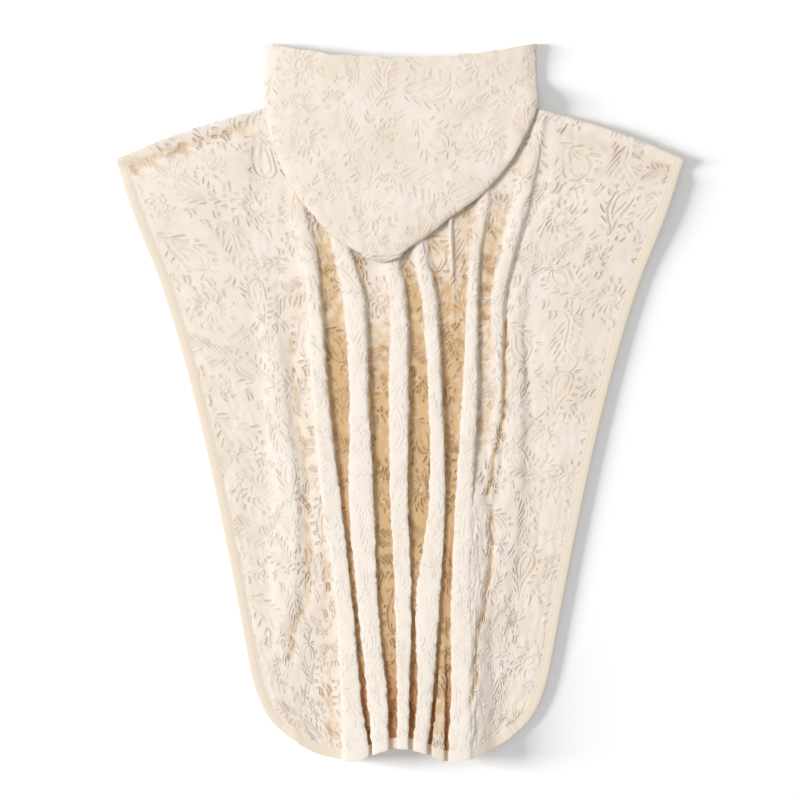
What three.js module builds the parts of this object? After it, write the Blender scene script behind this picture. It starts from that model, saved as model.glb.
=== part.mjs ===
// Hooded bath poncho of sculpted velour, laid out on its front with the hood thrown back.
// Millimetres, +Z up, +Y towards the hood. The floor is z = 0, with the origin under the middle of the cloth.
// The body is one length of cloth folded over the shoulders. Its lower half is drawn together into deep
// lengthwise folds, so every section across the back is a wavy line, worked out from the fold table below.
import * as THREE from "three";

const CLOTH = 2.6; // thickness of the velour
const HEM_WIDTH = 13; // width of the binding round the edge
const SEAM = 0.3; // gap between sewn pieces
const LAYER = 0.4; // gap between layers that lie on each other
const MIDDLE_SHIFT = 2; // brings the middle of the whole length to the origin
const BACK_Z = CLOTH + LAYER + CLOTH; // upper face of the back where it lies on the front

// Shoulder line: highest at the neck, falling away on both sides.
const NECK_Y = 399;
const SHOULDER_DROP = 6.3e-4; // y falls by this times x squared
const SHOULDER_HALF = 370;
const NECK_HALF = 124; // half the width of the neck opening
const NECK_DEPTH = 84; // how far the front neckline dips

// Outline of the sides: half the width at a height y.
const SIDE = [
  { y: 313, half: 370 },
  { y: 234, half: 344 },
  { y: 156, half: 313 },
  { y: 52, half: 281 },
  { y: -65, half: 252 },
  { y: -208, half: 222 },
  { y: -351, half: 195 },
];
const SIDE_STEP = 20; // spacing of the points along a side
// Rounded lower corner, from the side to where the hem row begins.
const CORNER = { topX: 195, topY: -351, controlX: 182, controlY: -412, midX: 153, midY: -431.6, steps: 8 };
const HEM_Y = -468; // lowest point of the hem
const HEM_FLAT = 61; // half the width of the middle stretch, which is drawn up
const HEM_LIFT = 17; // by this much
const HEM_CURVE = { rise: 36.4, power: 2.2 };

// Lengthwise folds of the back, from the left. Each has its centre, width and rise at these heights.
const LEVELS = [395, 260, 195, 130, 0, -130, -260, -390, -452];
const FOLDS = [
  {
    centre: [-179, -185, -179, -172, -160, -148, -150, -135, -107],
    width: [20, 20, 22, 24, 29, 35, 32, 20, 12],
    rise: [0, 0, 0.5, 2, 6, 8, 6, 1.5, 0],
  },
  {
    centre: [-124, -133, -120, -112, -103, -89, -73, -63, -57],
    width: [16, 21, 24, 21, 23, 25, 22, 27, 36],
    rise: [1, 5, 8, 11, 13, 16, 19, 22, 22],
  },
  {
    centre: [-71, -84, -75, -60, -53, -50, -42, -29, -25],
    width: [16, 23, 26, 31, 26, 33, 26, 26, 21],
    rise: [1, 5, 8, 11, 14, 17, 20, 23, 24],
  },
  {
    centre: [-20, -20, -14, -3, -2, -1, 4, 4, 3],
    width: [14, 20, 23, 25, 27, 23, 21, 16, 15],
    rise: [1, 4, 7, 10, 14, 17, 20, 23, 24],
  },
  {
    centre: [20, 20, 25, 38, 46, 48, 36, 32, 25],
    width: [14, 20, 22, 22, 19, 21, 31, 20, 19],
    rise: [1, 4, 7, 10, 14, 17, 20, 23, 24],
  },
  {
    centre: [58, 65, 66, 69, 66, 65, 59, 53, 49],
    width: [5, 6, 6, 6, 6, 4, 4, 12, 17],
    rise: [1, 5, 6, 1, 0, 0, 0, 12, 18],
  },
  {
    centre: [101, 109, 98, 94, 90, 83, 79, 79, 78],
    width: [14, 16, 15, 16, 21, 23, 26, 27, 31],
    rise: [1, 5, 8, 11, 13, 16, 19, 21, 22],
  },
  {
    centre: [191, 159, 141, 127, 127, 113, 100, 96, 98],
    width: [16, 21, 22, 20, 14, 12, 5, 3, 3],
    rise: [3, 8, 9, 9, 5, 1, 0, 0, 0],
  },
  {
    centre: [234, 195, 169, 153, 151, 146, 129, 120, 116],
    width: [20, 20, 20, 20, 22, 29, 32, 28, 14],
    rise: [0, 0.5, 1, 4, 8, 10, 8, 5, 3],
  },
];
// Half a fold's profile, from foot to crown: x as a share of half the width when low and when high,
// and z as a share of the rise.
const PROFILE = [
  { low: 1.12, high: 0.86, z: 0 },
  { low: 0.92, high: 1.0, z: 0.52 },
  { low: 0.55, high: 0.78, z: 0.93 },
  { low: 0, high: 0, z: 1 },
];
const HIGH_RISE = 10; // a fold of this rise has the full profile
const MOST_LEAN = 0.77; // where the cloth bends sharper than this, it is a little thinner

// Hood, lying on the back: left and right edge at a height y.
const HOOD = [
  { y: 464, left: -175, right: 177 },
  { y: 420, left: -177, right: 178 },
  { y: 380, left: -176, right: 178 },
  { y: 340, left: -168, right: 161 },
  { y: 300, left: -153, right: 137 },
  { y: 260, left: -130, right: 98 },
  { y: 236, left: -109, right: 64 },
  { y: 214, left: -90, right: 38 },
  { y: 196, left: -62, right: 12 },
  { y: 181, left: -33, right: -7 },
];
const HOOD_HALF = 180; // half its greatest width
const MOUTH_DIP = 20; // the face edge sags by this much
const DIP_REACH = 0.6; // down to this share of the hood's length
const MOUTH_LIFT = 6.5; // the face edge stands this far off the cloth under it
const LIFT_REACH = 0.25; // share of the length over which it comes down
const HOOD_LOFT = 3; // slack between the hood's two layers
const LOFT_POWER = 7; // how close to the edge the slack begins
const TIP_BULGE = 4; // the last rows bow down by this much
const TIP_POWER = 6;
const NARROW_WIDTH = 150; // where the hood is narrower, so is its turned edge
const HOOD_ROWS = [464, 448, 432, 418, 405, 392, 375, 350, 322, 295, 268, 244, 222, 204, 190, 181];
const HOOD_SHARES = [0.08, 0.18, 0.29, 0.4, 0.5, 0.6, 0.71, 0.82, 0.92];
const HOOD_STEP = { start: 6, length: 36 }; // where the hood comes down from the back to the floor
const HOOD_CLEAR = 1.2; // the lower layer spans the hollows between folds
// Edge of the hood where it turns down: distance in from the edge, and height as a share.
const RIM = [
  { inset: 1.8, up: 0 },
  { inset: 0, up: 0.42 },
  { inset: 1.6, up: 0.82 },
  { inset: 6, up: 0.98 },
];
const RIM_INSIDE = 9; // room the turned edge takes
const LOWER_TOP = 376; // the lower layer starts at the back neckline
const LOWER_RISE = 12; // and bows up by this much
const TIP_GAP = 8; // it ends short of the hood's tip
const TIP_START = 0.8; // and draws back from this share of its length
const COVER = { flat: 10, fall: 30 }; // a cover over a fold stays high beside it, then comes down
// Hood's front part: its points from the neck outwards, and how far its face edge lies inside the hood's.
const HOOD_FRONT = {
  neckIn: 6,
  neckY: 398,
  slopeX: 160,
  slopeY: 404,
  sideIn: 12,
  sideY: 422,
  faceIn: 5,
  steps: 6,
};

const SIDE_ROWS = 22; // rows down the back
const SETTLE_STEPS = 4; // rounds to find where a fold meets the shoulder and the hem
const FLAT_COLUMNS = 4; // between an edge and the nearest fold
const FRONT_INSET = 2; // the front's edge lies this far inside the back's
const SHOULDER_INSET = 11; // the front starts where the back's turned part ends
const SHOULDER_OUT = 1; // and reaches this much further out there
const HEM_STEP = 14; // spacing of the points along the front's hem
const SHOULDER_STEP = 38;
const NECK_STEPS = 12;
// Turn over the shoulder: how far forward it stands, its puffed rim, and where it begins beside the neck.
const ROLL = { forward: 3.5, puff: 2.4, reach: 16, turn: 26, steps: 4 };
// What follows the turn: a tail tucked under the shoulder, and a straight run along the neck.
const TUCK = { tail: 6, fromShare: 0.6, neckRun: 8, neckTail: 1.5 };
const RUMPLE = { height: 1.3, lengthX: 31, slantY: 95, lengthY: 120, phase: 0.6 };

// Value at y of a column of numbers given at falling heights, as a smooth curve.
function smoothAt(heights, values, y) {
  const last = heights.length - 1;
  if (y >= heights[0]) return values[0];
  if (y <= heights[last]) return values[last];
  let i = 0;
  while (y < heights[i + 1]) i++;
  const slope = (j) => {
    const a = Math.max(0, j - 1);
    const b = Math.min(last, j + 1);
    return (values[b] - values[a]) / (heights[b] - heights[a]);
  };
  const step = heights[i + 1] - heights[i];
  const f = (y - heights[i]) / step;
  const f2 = f * f;
  const f3 = f2 * f;
  return (
    (2 * f3 - 3 * f2 + 1) * values[i] +
    (f3 - 2 * f2 + f) * step * slope(i) +
    (3 * f2 - 2 * f3) * values[i + 1] +
    (f3 - f2) * step * slope(i + 1)
  );
}

function smoothStep(low, high, value) {
  return THREE.MathUtils.smoothstep(value, low, high);
}

function shoulderY(x) {
  return NECK_Y - SHOULDER_DROP * x * x;
}

// Unit vector along the shoulder line's outward normal at x.
function shoulderNormal(x) {
  return new THREE.Vector2(2 * SHOULDER_DROP * x, 1).normalize();
}

// Height of the hem's outline at x.
function hemY(x) {
  const a = Math.abs(x);
  if (a < HEM_FLAT) return HEM_Y + HEM_LIFT * (1 - (a / HEM_FLAT) ** 2) ** 1.5;
  const share = (a - HEM_FLAT) / (CORNER.midX - HEM_FLAT);
  return HEM_Y + HEM_CURVE.rise * share ** HEM_CURVE.power;
}

// Left outline from the shoulder to where the hem row begins, moved in by a distance.
function sidePath(inset) {
  const top = SIDE[0];
  const heights = SIDE.map((row) => row.y);
  const halves = SIDE.map((row) => row.half);
  const points = [];
  for (let y = top.y; y > CORNER.topY; y -= SIDE_STEP) {
    points.push(new THREE.Vector2(-smoothAt(heights, halves, y), y));
  }
  const corner = new THREE.QuadraticBezierCurve(
    new THREE.Vector2(-CORNER.topX, CORNER.topY),
    new THREE.Vector2(-CORNER.controlX, CORNER.controlY),
    new THREE.Vector2(-CORNER.midX, CORNER.midY),
  );
  points.push(...corner.getPoints(CORNER.steps));
  return points.map((p, i) => {
    const before = points[Math.max(0, i - 1)];
    const after = points[Math.min(points.length - 1, i + 1)];
    const along = after.clone().sub(before).normalize();
    return new THREE.Vector2(p.x - along.y * inset, p.y + along.x * inset);
  });
}

// Point at a share of a path's length.
function pointAlong(path, share) {
  const lengths = [0];
  for (let i = 1; i < path.length; i++) {
    lengths.push(lengths[i - 1] + path[i].distanceTo(path[i - 1]));
  }
  const target = share * lengths[lengths.length - 1];
  let i = 1;
  while (i < path.length - 1 && lengths[i] < target) i++;
  const f = (target - lengths[i - 1]) / (lengths[i] - lengths[i - 1]);
  return path[i - 1].clone().lerp(path[i], f);
}

// The under side of a cloth whose upper side is a grid of points, with rows that run down the cloth.
// The end of a cloth that another piece is sewn to is kept square to the floor.
function underside(grid, squareEnd) {
  const rows = grid.length;
  const columns = grid[0].length;
  const faceNormal = (r, c) => {
    if (r < 0 || c < 0 || r > rows - 2 || c > columns - 2) return null;
    const down = grid[r + 1][c + 1].clone().sub(grid[r][c]);
    const across = grid[r][c + 1].clone().sub(grid[r + 1][c]);
    return down.cross(across).normalize();
  };
  return grid.map((row, r) =>
    row.map((point, c) => {
      const before = [faceNormal(r - 1, c - 1), faceNormal(r - 1, c)];
      const after = [faceNormal(r, c - 1), faceNormal(r, c)];
      const faces = [...before, ...after].filter((normal) => normal);
      const normal = new THREE.Vector3();
      faces.forEach((face) => normal.add(face));
      if (squareEnd && r === rows - 1) normal.y = 0;
      normal.normalize();
      const lean = faces.reduce((sum, face) => sum + face.dot(normal), 0) / faces.length;
      return point.clone().addScaledVector(normal, -CLOTH / Math.max(lean, MOST_LEAN));
    }),
  );
}

// A closed body between an upper grid of points and a lower one.
function bodyBetween(upper, lower) {
  const rows = upper.length;
  const columns = upper[0].length;
  const count = rows * columns;
  const index = [];
  const quad = (a, b, c, d) => index.push(a, b, c, a, c, d);
  const id = (r, c) => r * columns + c;
  for (let r = 0; r < rows - 1; r++) {
    for (let c = 0; c < columns - 1; c++) {
      quad(id(r, c), id(r + 1, c), id(r + 1, c + 1), id(r, c + 1));
      quad(count + id(r, c), count + id(r, c + 1), count + id(r + 1, c + 1), count + id(r + 1, c));
    }
  }
  for (let r = 0; r < rows - 1; r++) {
    const ends = [id(r, 0), id(r + 1, 0), id(r, columns - 1), id(r + 1, columns - 1)];
    quad(ends[0], count + ends[0], count + ends[1], ends[1]);
    quad(ends[3], count + ends[3], count + ends[2], ends[2]);
  }
  for (let c = 0; c < columns - 1; c++) {
    const ends = [id(rows - 1, c), id(rows - 1, c + 1), id(0, c), id(0, c + 1)];
    quad(ends[1], ends[0], count + ends[0], count + ends[1]);
    quad(ends[2], ends[3], count + ends[3], count + ends[2]);
  }
  const points = [...upper, ...lower].flat().flatMap((p) => [p.x, p.y, p.z]);
  const geometry = new THREE.BufferGeometry();
  geometry.setAttribute("position", new THREE.Float32BufferAttribute(points, 3));
  geometry.setIndex(index);
  return geometry;
}

function clothSolid(grid) {
  return bodyBetween(grid, underside(grid, false));
}

// A fold's centre, half width and rise at a height y.
function foldAt(fold, y) {
  return {
    centre: smoothAt(LEVELS, fold.centre, y),
    half: smoothAt(LEVELS, fold.width, y) / 2,
    rise: Math.max(0, smoothAt(LEVELS, fold.rise, y)),
  };
}

// The points of one fold's section at a share t of the way down the back.
function foldPoints(fold, t, hemInset) {
  const pointOf = (side, step) => {
    const pointAt = (y) => {
      const { centre, half, rise } = foldAt(fold, y);
      const reach = THREE.MathUtils.lerp(step.low, step.high, Math.min(1, rise / HIGH_RISE));
      return new THREE.Vector3(centre + side * half * reach, y, BACK_Z + rise * step.z);
    };
    let topY = NECK_Y;
    let hemEndY = HEM_Y;
    for (let i = 0; i < SETTLE_STEPS; i++) {
      topY = shoulderY(pointAt(topY).x) - ROLL.forward;
      hemEndY = hemY(pointAt(hemEndY).x) + hemInset;
    }
    return pointAt(THREE.MathUtils.lerp(topY, hemEndY, t));
  };
  const rising = PROFILE.map((step) => pointOf(-1, step));
  const falling = PROFILE.slice(0, -1).map((step) => pointOf(1, step));
  return [...rising, ...falling.reverse()];
}

// Soft rumples of the flat parts of the back, never below it.
function rumple(x, y) {
  const slanting = Math.sin(x / RUMPLE.lengthX + y / RUMPLE.slantY);
  const lengthwise = Math.cos(y / RUMPLE.lengthY + RUMPLE.phase);
  return RUMPLE.height * (1 + slanting * lengthwise);
}

// One row of the back, from the left edge to the right, at a share t of the way down.
function backRow(t, leftPath, hemInset) {
  const edge = pointAlong(leftPath, t);
  const folds = FOLDS.flatMap((fold) => foldPoints(fold, t, hemInset));
  const flat = (from, to) => {
    const points = [];
    for (let i = 1; i <= FLAT_COLUMNS; i++) {
      const f = i / (FLAT_COLUMNS + 1);
      const p = from.clone().lerp(to, f);
      p.y += SHOULDER_DROP * (to.x - from.x) ** 2 * f * (1 - f) * (1 - t) ** 2;
      const fade = Math.min(1, 4 * f * (1 - f));
      p.z = BACK_Z + rumple(p.x, p.y) * fade;
      points.push(p);
    }
    return points;
  };
  const left = new THREE.Vector3(edge.x, edge.y, BACK_Z);
  const right = new THREE.Vector3(-edge.x, edge.y, BACK_Z);
  const first = folds[0];
  const last = folds[folds.length - 1];
  return [left, ...flat(left, first), ...folds, ...flat(last, right), right];
}

// How far the cloth turns over the shoulder at x: half a turn, or none along the neck.
function shoulderTurn(x) {
  return Math.PI * smoothStep(NECK_HALF, NECK_HALF + ROLL.turn, Math.abs(x));
}

// The stretch that turns over the shoulder, from its end on the floor up to the back's first row.
function shoulderRoll(firstRow) {
  const rows = [];
  for (let k = ROLL.steps + 1; k >= 1; k--) {
    rows.push(
      firstRow.map((p) => {
        const turn = shoulderTurn(p.x);
        const share = turn / Math.PI;
        const out = shoulderNormal(p.x);
        const angle = turn * Math.min(1, k / ROLL.steps);
        const straight = (TUCK.neckRun * (1 - share) * k) / (ROLL.steps + 1);
        const tucked = TUCK.tail * Math.max(0, (share - TUCK.fromShare) / (1 - TUCK.fromShare));
        const tail = k > ROLL.steps ? tucked + TUCK.neckTail * (1 - share) : 0;
        const forward = straight + ROLL.forward * Math.sin(angle) + tail * Math.cos(turn);
        const drop = (p.z / 2) * (1 - Math.cos(angle));
        return new THREE.Vector3(p.x + out.x * forward, p.y + out.y * forward, p.z - drop);
      }),
    );
  }
  return rows;
}

// Every row of the back, with its shoulder turn, down to a row that ends short of the hem.
function backGrid() {
  const leftPath = sidePath(HEM_WIDTH + SEAM);
  leftPath[0].set(-SHOULDER_HALF + HEM_WIDTH + SEAM, 0);
  leftPath[0].y = shoulderY(leftPath[0].x) - ROLL.forward;
  const rows = [];
  for (let i = 0; i <= SIDE_ROWS; i++) {
    const row = backRow(i / SIDE_ROWS, leftPath, HEM_WIDTH + SEAM);
    row.forEach((p) => {
      const inward = shoulderY(p.x) - ROLL.forward - p.y;
      const besideHood = smoothStep(HOOD_HALF, HOOD_HALF + ROLL.turn, Math.abs(p.x));
      p.z += ROLL.puff * (1 - smoothStep(0, ROLL.reach, inward)) * besideHood;
    });
    rows.push(row);
  }
  return [...shoulderRoll(rows[0]), ...rows];
}

// The binding round the back: down the left side, along the folded hem and up the right side.
function bindingSolid(upper, lower) {
  const lastColumn = upper[0].length - 1;
  const lastRow = upper.length - 1;
  const border = (grid) => [
    ...grid.map((row) => row[0]),
    ...grid[lastRow].slice(1, -1),
    ...grid.map((row) => row[lastColumn]).reverse(),
  ];
  const path = border(upper);
  const outward = path.map((p, i) => {
    const hemStart = lastRow + FLAT_COLUMNS;
    const onHem = i > hemStart && i < path.length - 1 - hemStart;
    if (onHem) return new THREE.Vector3(0, -1, 0);
    const onRoll = Math.min(i, path.length - 1 - i) <= ROLL.steps + 1;
    if (onRoll) {
      const out = shoulderNormal(p.x);
      return new THREE.Vector3(Math.sign(p.x) * out.y, -Math.abs(out.x), 0);
    }
    const along = path[i + 1].clone().sub(path[i - 1]).setZ(0).normalize();
    return new THREE.Vector3(along.y, -along.x, 0);
  });
  const strip = (line) =>
    line.map((p, i) =>
      [HEM_WIDTH, HEM_WIDTH / 2, 0].map((offset) => p.clone().addScaledVector(outward[i], offset + SEAM)),
    );
  return bodyBetween(strip(path), strip(border(lower)));
}

// A flat piece on the floor, cut from an outline.
function flatPiece(outline) {
  return new THREE.ExtrudeGeometry(new THREE.Shape(outline), { depth: CLOTH, bevelEnabled: false });
}

// A point on the shoulder line at x, moved in square to it.
function shoulderPoint(x, inset) {
  return new THREE.Vector2(x, shoulderY(x)).addScaledVector(shoulderNormal(x), -inset);
}

function mirrored(points) {
  return points.map((p) => new THREE.Vector2(-p.x, p.y)).reverse();
}

// Left half of the front's outer edge, from the shoulder to the middle of the hem, moved in by a distance.
function frontEdge(inset) {
  const side = sidePath(inset + FRONT_INSET);
  side[0] = shoulderPoint(side[0].x - SHOULDER_OUT, SHOULDER_INSET);
  const hem = [];
  for (let x = -CORNER.midX + inset; x < 0; x += HEM_STEP) {
    hem.push(new THREE.Vector2(x, hemY(x) + inset + FRONT_INSET));
  }
  return [...side, ...hem, new THREE.Vector2(0, hemY(0) + inset + FRONT_INSET)];
}

// The U of the neckline from its lowest point to the left neck point.
function necklineLeft(inset) {
  const top = shoulderPoint(-NECK_HALF, SHOULDER_INSET).y;
  const points = [];
  for (let i = 0; i < NECK_STEPS; i++) {
    const angle = (Math.PI / 2) * (1 - i / NECK_STEPS);
    const x = -(NECK_HALF - inset) * Math.cos(angle);
    points.push(new THREE.Vector2(x, top - (NECK_DEPTH - inset) * Math.sin(angle)));
  }
  return points;
}

function frontPanel() {
  const edge = frontEdge(HEM_WIDTH + SEAM);
  const shoulder = [];
  for (let x = -NECK_HALF; x > edge[0].x + SHOULDER_STEP / 2; x -= SHOULDER_STEP) {
    shoulder.push(shoulderPoint(x, SHOULDER_INSET));
  }
  const half = [...necklineLeft(0), ...shoulder, ...edge];
  return flatPiece([...half, ...mirrored(half.slice(1, -1))]);
}

function frontBinding() {
  const outer = frontEdge(0);
  const inner = frontEdge(HEM_WIDTH);
  const ring = (edge) => [...edge, ...mirrored(edge.slice(0, -1))];
  return flatPiece([...ring(outer), ...ring(inner).reverse()]);
}

// Height above the back that a smooth cover has to clear, from the folds near x.
function foldCover(x, y) {
  let cover = 0;
  for (const fold of FOLDS) {
    const { centre, half, rise } = foldAt(fold, y);
    const beyond = Math.abs(x - centre) - half - COVER.flat;
    cover = Math.max(cover, rise * (1 - smoothStep(0, COVER.fall, beyond)));
  }
  return cover;
}

// How far a point is past the shoulder line, from 0 on the back to 1 on the floor.
function pastShoulder(x, y) {
  const start = shoulderY(x) + HOOD_STEP.start;
  return smoothStep(start, start + HOOD_STEP.length, y);
}

const hoodHeights = HOOD.map((row) => row.y);
const hoodEdges = (y, inset) => ({
  left: smoothAt(hoodHeights, HOOD.map((row) => row.left), y) + inset,
  right: smoothAt(hoodHeights, HOOD.map((row) => row.right), y) - inset,
});

// The hood's upper layer, from the face edge to the tip, with its edges turned down.
function hoodUpper() {
  const rowAt = (y, down, flat) => {
    const { left, right } = hoodEdges(y, 0);
    const width = right - left;
    const narrow = Math.min(1, width / NARROW_WIDTH);
    const rim = RIM.map((step) => ({ share: (step.inset * narrow) / width, up: step.up }));
    const middle = HOOD_SHARES.map((share) => ({ share, up: 1 }));
    const otherRim = rim.map((step) => ({ share: 1 - step.share, up: step.up })).reverse();
    return [...rim, ...middle, ...otherRim].map((step) => {
      const bow = 1 - (2 * step.share - 1) ** 2;
      const sag = MOUTH_DIP * (1 - smoothStep(0, DIP_REACH, down)) + TIP_BULGE * down ** TIP_POWER;
      const x = left + step.share * width;
      const rowY = y - sag * bow;
      const past = pastShoulder(x, rowY);
      const cover = BACK_Z + foldCover(x, rowY);
      const low = THREE.MathUtils.lerp(cover + LAYER, LAYER, past);
      const seat = THREE.MathUtils.lerp(cover + HOOD_CLEAR + CLOTH, CLOTH, past);
      const away = 1 - Math.abs(2 * step.share - 1) ** LOFT_POWER;
      const mouth = MOUTH_LIFT * (1 - smoothStep(0, LIFT_REACH, down));
      const top = seat + LAYER + CLOTH + away * (HOOD_LOFT + mouth);
      return new THREE.Vector3(x, rowY, THREE.MathUtils.lerp(low, top, flat ? 0 : step.up));
    });
  };
  const rows = HOOD_ROWS.map((y, i) => rowAt(y, i / (HOOD_ROWS.length - 1), false));
  const tip = HOOD_ROWS[HOOD_ROWS.length - 1];
  return clothSolid([...rows, rowAt(tip, 1, true)]);
}

// The hood's lower layer, which lies on the back.
function hoodLower() {
  const heights = HOOD_ROWS.filter((y) => y < LOWER_TOP);
  const rows = heights.map((y, i) => {
    const { left, right } = hoodEdges(y, RIM_INSIDE);
    const gap = TIP_GAP * smoothStep(TIP_START, 1, i / (heights.length - 1));
    return [0, ...HOOD_SHARES, 1].map((share) => {
      const x = THREE.MathUtils.lerp(left, right, share);
      const rise = i === 0 ? LOWER_RISE * (1 - (2 * share - 1) ** 2) : 0;
      const z = BACK_Z + foldCover(x, y + rise) + HOOD_CLEAR - LAYER / 2 + CLOTH;
      return new THREE.Vector3(x, y + rise + gap, z);
    });
  });
  return clothSolid(rows);
}

// The hood's front part, on the floor: from the face edge down through the neck to the front neckline.
function hoodFront() {
  const half = necklineLeft(SEAM);
  half.push(new THREE.Vector2(-NECK_HALF + HOOD_FRONT.neckIn, HOOD_FRONT.neckY));
  half.push(new THREE.Vector2(-HOOD_FRONT.slopeX, HOOD_FRONT.slopeY));
  const side = HOOD_HALF - HOOD_FRONT.sideIn;
  half.push(new THREE.Vector2(-side, HOOD_FRONT.sideY));
  const face = HOOD[0].y - HOOD_FRONT.faceIn;
  for (let i = 0; i < HOOD_FRONT.steps; i++) {
    const f = i / HOOD_FRONT.steps;
    half.push(new THREE.Vector2(-side * (1 - f), face - MOUTH_DIP * (1 - (1 - f) ** 2)));
  }
  return flatPiece([...half, new THREE.Vector2(0, face - MOUTH_DIP), ...mirrored(half.slice(1))]);
}

const velour = new THREE.MeshStandardMaterial({ color: 0xf1e4d2, roughness: 0.95, metalness: 0 });
const bindingTape = new THREE.MeshStandardMaterial({ color: 0xf0dec4, roughness: 0.85, metalness: 0 });

const poncho = new THREE.Group();
poncho.position.y = MIDDLE_SHIFT;
function addPiece(name, geometry, material) {
  const mesh = new THREE.Mesh(geometry, material);
  mesh.name = name;
  poncho.add(mesh);
}

const backUpper = backGrid();
const backLower = underside(backUpper, true);
addPiece("back_panel", bodyBetween(backUpper, backLower), velour);
addPiece("back_binding", bindingSolid(backUpper, backLower), bindingTape);
addPiece("front_panel", frontPanel(), velour);
addPiece("front_binding", frontBinding(), bindingTape);
addPiece("hood_upper", hoodUpper(), velour);
addPiece("hood_lower", hoodLower(), velour);
addPiece("hood_front", hoodFront(), velour);

export default poncho;
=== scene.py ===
import math
import bpy
import numpy as np
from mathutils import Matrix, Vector


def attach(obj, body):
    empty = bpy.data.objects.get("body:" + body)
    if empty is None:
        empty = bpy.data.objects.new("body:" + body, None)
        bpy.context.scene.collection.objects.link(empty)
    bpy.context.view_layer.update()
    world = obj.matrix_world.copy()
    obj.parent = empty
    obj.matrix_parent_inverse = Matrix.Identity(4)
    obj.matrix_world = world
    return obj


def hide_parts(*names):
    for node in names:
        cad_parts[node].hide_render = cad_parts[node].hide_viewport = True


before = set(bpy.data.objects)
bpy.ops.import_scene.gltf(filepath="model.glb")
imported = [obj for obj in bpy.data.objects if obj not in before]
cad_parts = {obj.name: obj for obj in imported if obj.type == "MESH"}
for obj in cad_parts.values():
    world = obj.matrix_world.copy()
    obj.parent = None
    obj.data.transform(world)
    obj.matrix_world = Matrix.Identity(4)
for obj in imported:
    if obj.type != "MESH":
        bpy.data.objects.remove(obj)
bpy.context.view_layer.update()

print("frame loaded")


# small tools: sizes are in millimetres until a mesh is made
def smoothStep(low, high, value):
    f = np.clip((value - low) / (high - low), 0, 1)
    return f * f * (3 - 2 * f)


def smoothAt(heights, values, y):
    # smooth curve through values given at falling heights
    h = np.array(heights[::-1], float)
    v = np.array(values[::-1], float)
    i = np.arange(len(h))
    a, b = np.maximum(i - 1, 0), np.minimum(i + 1, len(h) - 1)
    slope = (v[b] - v[a]) / (h[b] - h[a])
    y = np.clip(y, h[0], h[-1])
    k = np.clip(np.searchsorted(h, y) - 1, 0, len(h) - 2)
    step = h[k + 1] - h[k]
    f = (y - h[k]) / step
    near = (2 * f**3 - 3 * f**2 + 1) * v[k] + (f**3 - 2 * f**2 + f) * step * slope[k]
    return near + (3 * f**2 - 2 * f**3) * v[k + 1] + (f**3 - f**2) * step * slope[k + 1]


def lumps(u, v, shortest, longest, seed, waves=40):
    # soft unevenness of thick cloth, between -1 and 1 or so
    rng = np.random.default_rng(seed)
    total = np.zeros(np.shape(u))
    for _ in range(waves):
        length = rng.uniform(shortest, longest)
        turn, phase = rng.uniform(0, math.pi), rng.uniform(0, 2 * math.pi)
        total += np.sin((u * math.cos(turn) + v * math.sin(turn)) * 2 * math.pi / length + phase)
    return total / math.sqrt(waves)


def unevenness(u, v, layers):
    return sum(height * lumps(u, v, *rest) for height, *rest in layers)


def unit(vectors):
    return vectors / np.maximum(np.linalg.norm(vectors, axis=-1, keepdims=True), 1e-9)


def gridNormals(points):
    return unit(np.cross(np.gradient(points, axis=0), np.gradient(points, axis=1)))


def runAlong(points, axis=0):
    # length from the first point on, along one direction of a row or grid of points
    step = np.linalg.norm(np.diff(points, axis=axis), axis=-1)
    return np.insert(np.cumsum(step, axis), 0, 0, axis)


cloth = dict(
    thickness=2.3, solidThickness=2.6,  # of the sheets made here, and of the solids
    hemWidth=13.0,  # what the binding covers
    seam=0.3, layer=0.4,  # gap at a seam, and between two layers
    backTop=5.6,  # height of the back where it lies flat
    width=734.0, shiftY=2.0,
)

# motifs of the sculpted pile: one repeat of the jacquard, in mm
# kind 0 is a daisy, 1 a paisley, 2 a leafy spray, 3 a pair of crescents
relief = dict(
    repeat=(196.0, 236.0),
    drop=0.5,
    motifs=[
        # u, v, kind, radius, turn in degrees, petals
        (38, 44, 0, 27, 10, 15),
        (132, 150, 0, 25, 50, 14),
        (96, 92, 0, 17, 0, 10),
        (24, 148, 0, 15, 30, 9),
        (176, 196, 0, 14, 0, 8),
        (98, 30, 1, 29, 25, 0),
        (170, 84, 1, 33, 200, 0),
        (66, 128, 1, 27, -40, 0),
        (34, 206, 1, 32, 155, 0),
        (152, 26, 2, 27, 70, 0),
        (92, 198, 2, 29, -20, 0),
        (20, 98, 2, 23, 110, 0),
        (188, 140, 2, 21, 15, 0),
        (134, 222, 2, 18, 95, 0),
        (64, 82, 2, 15, 40, 0),
    ],
    leafSpacing=16.0, leafRadius=(8.0, 12.0), leafGap=0.84,
)


def fillWithLeaves(motifs):
    # small crescents go wherever the larger motifs leave room
    rng = np.random.default_rng(12)
    width, height = relief["repeat"]
    laid = list(motifs)
    for row in range(int(height / relief["leafSpacing"])):
        for col in range(int(width / relief["leafSpacing"])):
            u, v = (np.array([col, row]) + rng.uniform(0.1, 0.9, 2)) * relief["leafSpacing"]
            radius = rng.uniform(*relief["leafRadius"])
            gaps = []
            for mu, mv, kind, size, turn, petals in laid:
                for du in (-width, 0, width):
                    for dv in (-height, 0, height):
                        # beside the repeat the columns stand half a repeat lower
                        lower = height * relief["drop"] * (du != 0)
                        gaps.append(math.hypot(u - mu - du, v - mv - dv - lower) / (size + radius))
            if min(gaps) > relief["leafGap"]:
                laid.append((u, v, 3, radius, rng.uniform(-50, 50), 0))
    return laid


relief["motifs"] = fillWithLeaves(relief["motifs"])


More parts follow.
